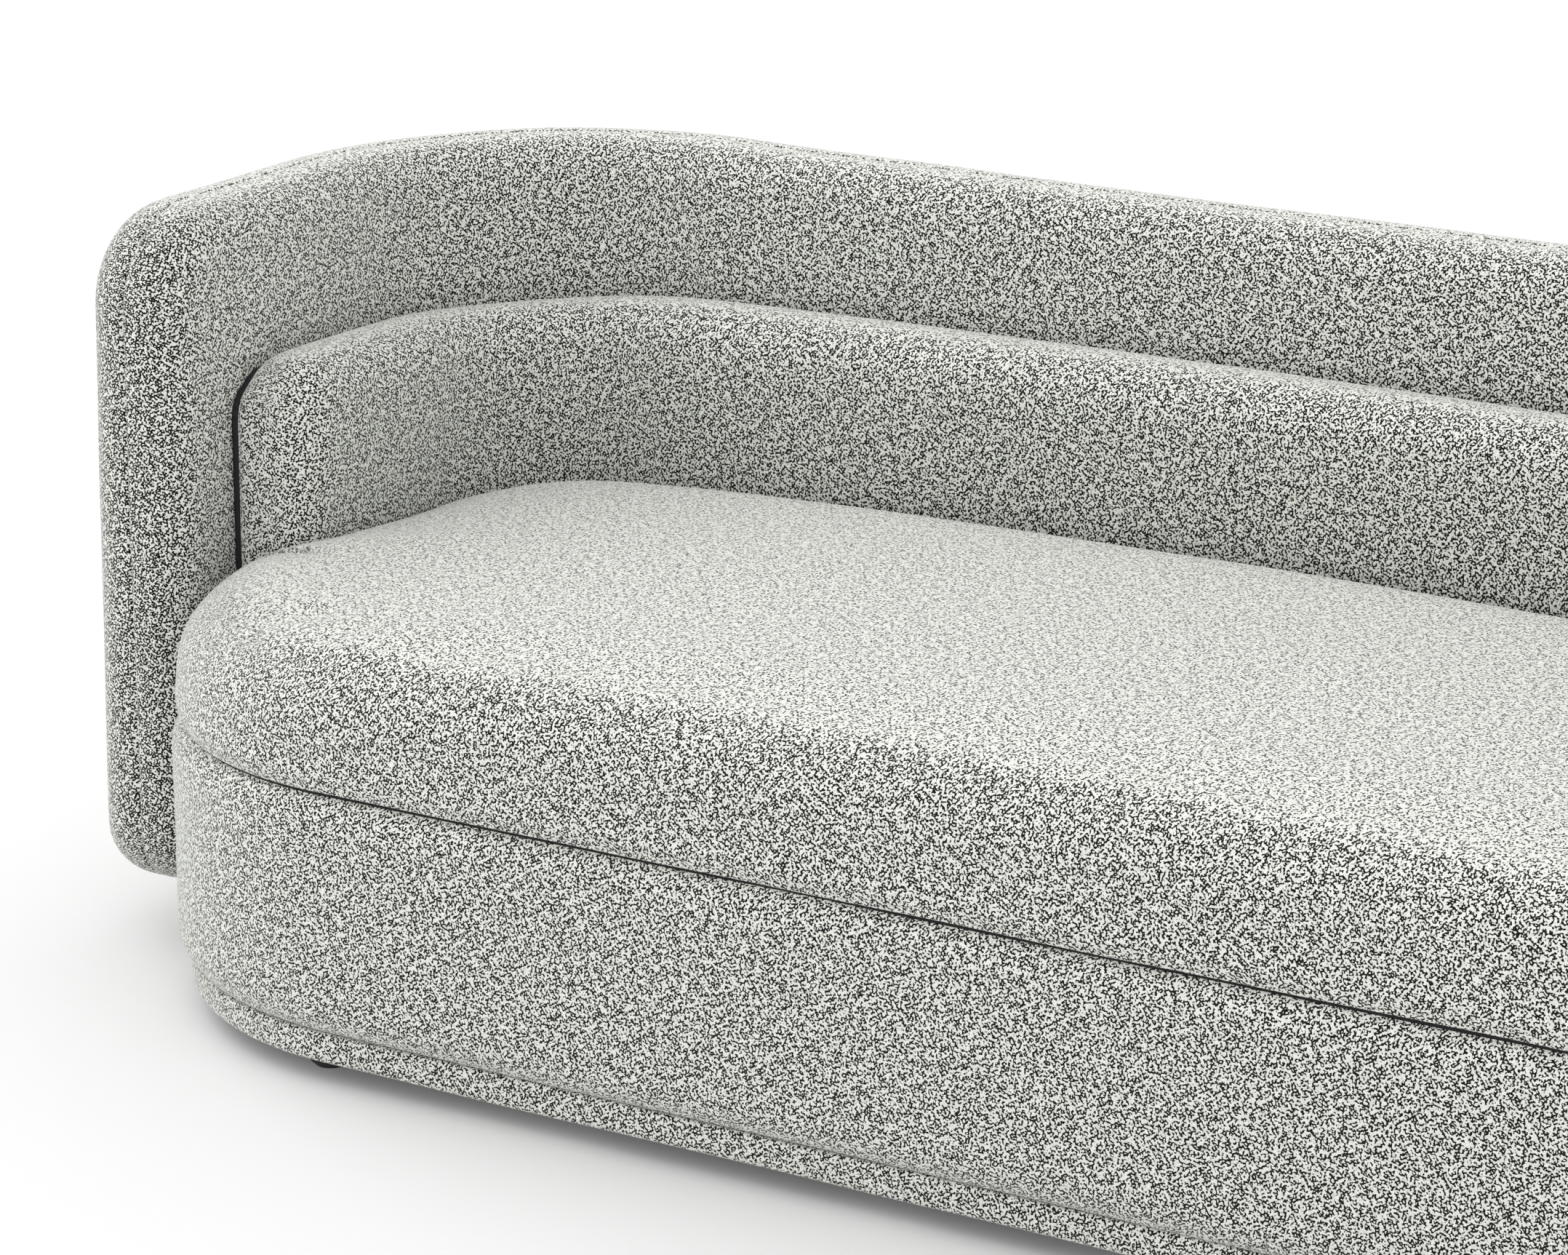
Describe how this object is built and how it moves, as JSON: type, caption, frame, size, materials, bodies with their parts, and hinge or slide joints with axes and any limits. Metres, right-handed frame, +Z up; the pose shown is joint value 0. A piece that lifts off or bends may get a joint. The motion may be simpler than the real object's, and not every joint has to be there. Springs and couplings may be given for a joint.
{
  "type": "sofa",
  "caption": "Low boucle bench sofa: one rounded shell wraps arms and back round an inner pad, a rounded base on a recessed plinth and one loose crowned seat cushion.",
  "frame": {"origin": "on the floor under the middle of the sofa's overall box", "axes": "+X along the length of the sofa, +Y towards the back, +Z up; the front faces -Y"},
  "size_m": [2.23, 0.895, 0.718],
  "materials": {
    "boucle_fabric": "light warm grey boucle with dark ground showing between its loops",
    "foam": "cut polyurethane foam",
    "fibre_wadding": "polyester wadding",
    "plywood": "raw birch plywood",
    "timber": "planed softwood",
    "zinc_steel": "zinc plated",
    "black_plastic": "moulded dark grey plastic",
    "black_lining": "black non-woven lining",
    "webbing": "elastic webbing"
  },
  "bodies": {
    "sofa_frame": {"shell_cover": "boucle_fabric", "base_cover": "boucle_fabric", "plinth_cover": "boucle_fabric", "back_pad_cover": "boucle_fabric", "shell_foam": "foam", "base_foam": "foam", "back_pad_foam": "foam", "deck_pad": "fibre_wadding", "plinth_frame": "plywood", "base_bottom_plate": "plywood", "base_top_plate": "plywood", "base_corner_ribs": "plywood", "base_skin": "plywood", "shell_bottom_rail": "plywood", "shell_middle_rail": "plywood", "shell_top_rail": "plywood", "shell_inner_skin": "plywood", "shell_outer_skin": "plywood", "arm_end_boards": "plywood", "back_pad_board": "plywood", "base_front_rail": "timber", "base_back_rail": "timber", "base_side_rails": "timber", "base_stretchers": "timber", "shell_posts": "timber", "glide_screws": "zinc_steel", "shell_bolts": "zinc_steel", "bolt_washers": "zinc_steel", "tee_nuts": "zinc_steel", "glide_front_left": "black_plastic", "glide_front_right": "black_plastic", "glide_rear_left": "black_plastic", "glide_rear_right": "black_plastic", "glide_centre_front": "black_plastic", "glide_centre_rear": "black_plastic", "joint_spacers": "black_plastic", "dust_cover": "black_lining", "deck_cloth": "black_lining", "back_pad_strips": "black_lining", "seat_webbing": "webbing"},
    "seat_cushion": {"seat_core": "foam", "seat_wrap": "fibre_wadding", "seat_cover": "boucle_fabric", "seat_underside": "black_lining"}
  },
  "joints": [
    {"name": "seat_lift", "type": "slide", "parent": "sofa_frame", "child": "seat_cushion", "axis": [0, 0, 1], "range_m": [0, 0.45]}
  ]
}
